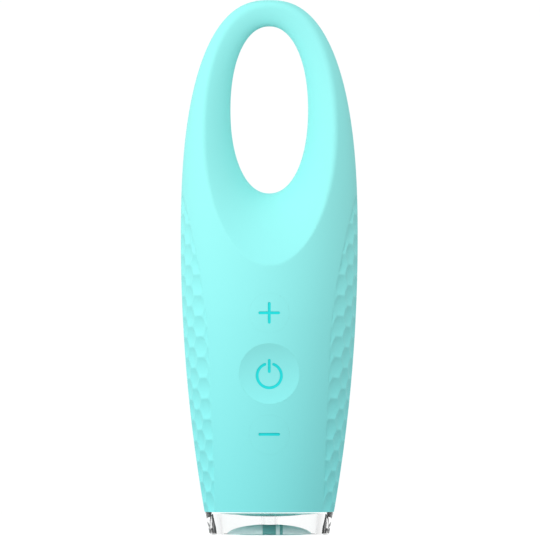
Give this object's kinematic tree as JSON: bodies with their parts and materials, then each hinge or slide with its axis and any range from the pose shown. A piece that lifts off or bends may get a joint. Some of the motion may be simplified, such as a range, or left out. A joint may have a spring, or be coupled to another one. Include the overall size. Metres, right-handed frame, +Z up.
{
  "type": "eye massager",
  "caption": "Handheld eye massager: a soft skinned handle that thins into an open loop, with push buttons on its front, a honeycomb grip and a clear foot.",
  "frame": {"origin": "middle of the clear foot's underside, which is also the middle of the bounding box's lower face", "axes": "+Z up the handle to the tip of the loop, -Y out of the front where the buttons are, +X to the right of someone who stands behind the massager and looks along -Y"},
  "size_m": [0.0408, 0.028, 0.123],
  "materials": {
    "skin": "soft matte silicone",
    "icon": "soft matte silicone",
    "shell": "moulded",
    "clear": "clear polished",
    "teal": "moulded",
    "seal": "matte",
    "steel": "plain",
    "board": "solder mask",
    "chip": "moulded",
    "contact": "plated",
    "cell": "sleeved",
    "foam": "foam",
    "lamp": "moulded",
    "wire": "sleeved"
  },
  "bodies": {
    "housing": {"base_foot": "clear", "base_leads": "wire", "base_plug": "teal", "base_seal": "seal", "battery_cell": "cell", "battery_leads": "wire", "battery_pad": "foam", "battery_tabs": "steel", "board_passives": "chip", "board_screws": "steel", "bracket_screw": "steel", "charger_chip": "chip", "charging_socket": "clear", "chassis": "shell", "circuit_board": "board", "controller_chip": "chip", "foot_liner": "teal", "front_shell": "shell", "lamp_board": "board", "lamps": "lamp", "left_motor_can": "steel", "light_pipes": "clear", "loop_core": "shell", "loop_pins": "steel", "minus_switch": "chip", "motor_boots": "seal", "motor_bracket": "shell", "motor_end_caps": "chip", "motor_leads": "wire", "plus_switch": "chip", "power_switch": "chip", "rear_shell": "shell", "right_motor_can": "steel", "shell_screws": "steel", "silicone_skin": "skin", "socket_contact": "contact"},
    "power_button": {"power_button": "skin", "power_icon": "icon", "power_key": "shell", "power_plunger": "lamp"},
    "plus_button": {"plus_button": "skin", "plus_icon": "icon", "plus_key": "shell", "plus_plunger": "lamp"},
    "minus_button": {"minus_button": "skin", "minus_icon": "icon", "minus_key": "shell", "minus_plunger": "lamp"},
    "left_rotor": {"left_motor_shaft": "steel", "left_motor_weight": "steel"},
    "right_rotor": {"right_motor_shaft": "steel", "right_motor_weight": "steel"}
  },
  "joints": [
    {"name": "power_button_press", "type": "slide", "parent": "housing", "child": "power_button", "axis": [0, 1, 0], "range_m": [0, 0.0005], "stiffness_N_per_m": 3200},
    {"name": "plus_button_press", "type": "slide", "parent": "housing", "child": "plus_button", "axis": [0, 1, 0], "range_m": [0, 0.0005], "stiffness_N_per_m": 3200},
    {"name": "minus_button_press", "type": "slide", "parent": "housing", "child": "minus_button", "axis": [0, 1, 0], "range_m": [0, 0.0005], "stiffness_N_per_m": 3200},
    {"name": "left_motor_spin", "type": "hinge", "parent": "housing", "child": "left_rotor", "pos_m": [-0.01154, 0.0005, 0.075], "axis": [0, 0, 1], "continuous": true},
    {"name": "right_motor_spin", "type": "hinge", "parent": "housing", "child": "right_rotor", "pos_m": [0.01154, 0.0005, 0.075], "axis": [0, 0, 1], "continuous": true}
  ]
}
